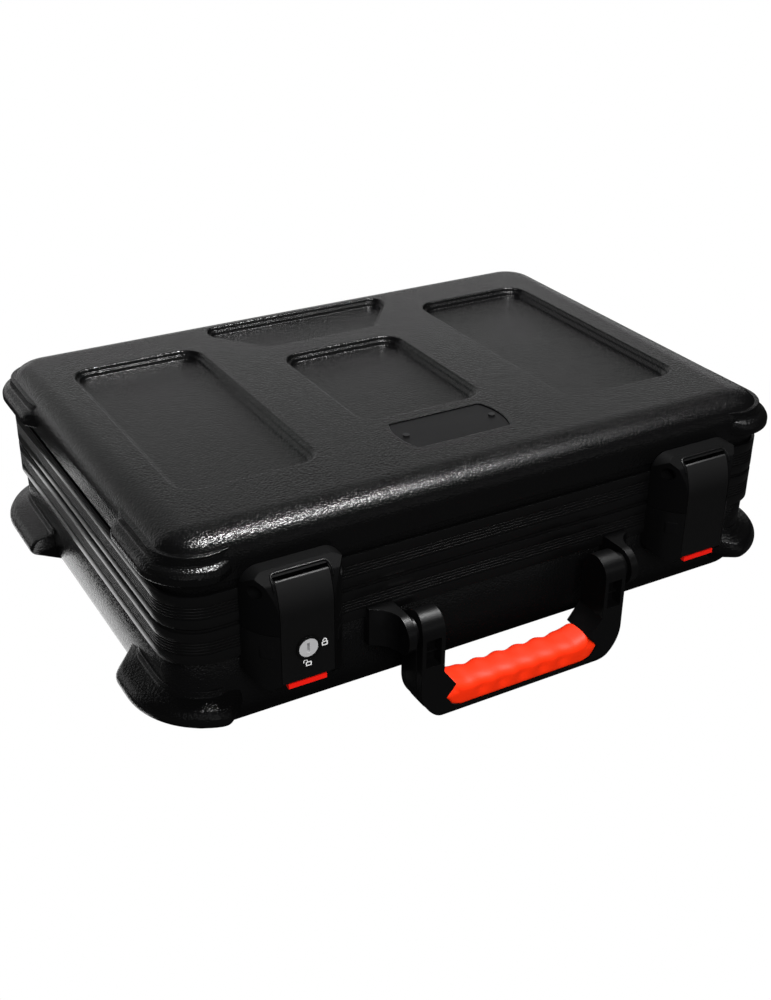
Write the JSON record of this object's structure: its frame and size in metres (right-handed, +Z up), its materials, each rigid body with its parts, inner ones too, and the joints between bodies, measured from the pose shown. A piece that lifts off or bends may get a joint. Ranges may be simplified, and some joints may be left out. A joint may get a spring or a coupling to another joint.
{
  "type": "guitar pedal case",
  "caption": "Moulded plastic guitar pedal case with ribbed metal edges, hinged lid, two lever latches, a key lock and a swinging rubber-gripped handle.",
  "frame": {"origin": "on the ground under the middle of the case's outline, which is the middle of the edge extrusions in plan; the case lies flat with its lid up", "axes": "+X to the right along the width, seen from the latches; +Y to the back, away from the latches; +Z up"},
  "size_m": [0.516, 0.3901, 0.1664],
  "materials": {
    "shell": "pebbled, semi-gloss black polyethylene",
    "valance": "satin, black anodised",
    "hardware": "satin black nylon",
    "grip": "matt orange-red rubber",
    "release": "red plastic",
    "steel": "zinc plated",
    "black_steel": "black plated",
    "lock": "satin nickel",
    "badge": "satin black, bare",
    "foam": "charcoal open-cell foam",
    "foot": "matt black rubber"
  },
  "bodies": {
    "base": {"base_shell": "shell", "base_valance": "valance", "base_valance_rivets": "steel", "foam_floor": "foam", "foam_frame": "foam", "foot_screws": "black_steel", "foot_front_left": "foot", "foot_front_right": "foot", "foot_back_left": "foot", "foot_back_right": "foot", "handle_bracket_left": "hardware", "handle_bracket_right": "hardware", "handle_bracket_screws": "black_steel", "handle_pin_left": "steel", "handle_pin_right": "steel", "handle_spacer_left": "hardware", "handle_spacer_right": "hardware", "hinge_base_leaf_left": "black_steel", "hinge_base_leaf_right": "black_steel", "hinge_pin_left": "steel", "hinge_pin_right": "steel", "hinge_rivets_base": "steel", "latch_keeper_left": "hardware", "latch_keeper_right": "hardware", "latch_keeper_screws": "black_steel", "latch_strike_left": "steel", "latch_strike_right": "steel"},
    "lid": {"lid_shell": "shell", "lid_valance": "valance", "lid_valance_rivets": "steel", "foam_lid": "foam", "badge_plate": "badge", "badge_screws": "black_steel", "hinge_lid_leaf_left": "black_steel", "hinge_lid_leaf_right": "black_steel", "hinge_rivets_lid": "steel", "latch_frame_left": "hardware", "latch_frame_right": "hardware", "latch_frame_screws": "black_steel", "latch_pivot_pin_left": "steel", "latch_pivot_pin_right": "steel", "latch_spring_left": "steel", "latch_spring_right": "steel"},
    "lever_left": {"latch_lever_left": "hardware", "latch_hook_left": "steel", "lock_ring": "hardware"},
    "lever_right": {"latch_lever_right": "hardware", "latch_hook_right": "steel"},
    "release_left": {"latch_release_left": "release"},
    "release_right": {"latch_release_right": "release"},
    "key": {"lock_cylinder": "lock", "lock_cam": "lock"},
    "handle": {"handle_frame": "hardware", "handle_grip": "grip"}
  },
  "joints": [
    {"name": "lid_hinge", "type": "hinge", "parent": "base", "child": "lid", "pos_m": [0, 0.1765, 0.105], "axis": [-1, 0, 0], "range_deg": [0, 100]},
    {"name": "latch_left", "type": "hinge", "parent": "lid", "child": "lever_left", "pos_m": [-0.1615, -0.1835, 0.132], "axis": [-1, 0, 0], "range_deg": [0, 75], "stiffness_Nm_per_rad": 0.04, "springref_deg": -22.92},
    {"name": "latch_right", "type": "hinge", "parent": "lid", "child": "lever_right", "pos_m": [0.1615, -0.1835, 0.132], "axis": [-1, 0, 0], "range_deg": [0, 75], "stiffness_Nm_per_rad": 0.04, "springref_deg": -22.92},
    {"name": "release_left", "type": "slide", "parent": "lever_left", "child": "release_left", "axis": [0, 1, 0], "range_m": [0, 0.0015], "stiffness_N_per_m": 400, "springref_m": -0.001},
    {"name": "release_right", "type": "slide", "parent": "lever_right", "child": "release_right", "axis": [0, 1, 0], "range_m": [0, 0.0015], "stiffness_N_per_m": 400, "springref_m": -0.001},
    {"name": "key_turn", "type": "hinge", "parent": "lever_left", "child": "key", "pos_m": [-0.1615, -0.195, 0.0887], "axis": [0, -1, 0], "range_deg": [0, 90]},
    {"name": "handle_swing", "type": "hinge", "parent": "base", "child": "handle", "pos_m": [0, -0.1915, 0.074], "axis": [-1, 0, 0], "range_deg": [-10, 100]}
  ]
}
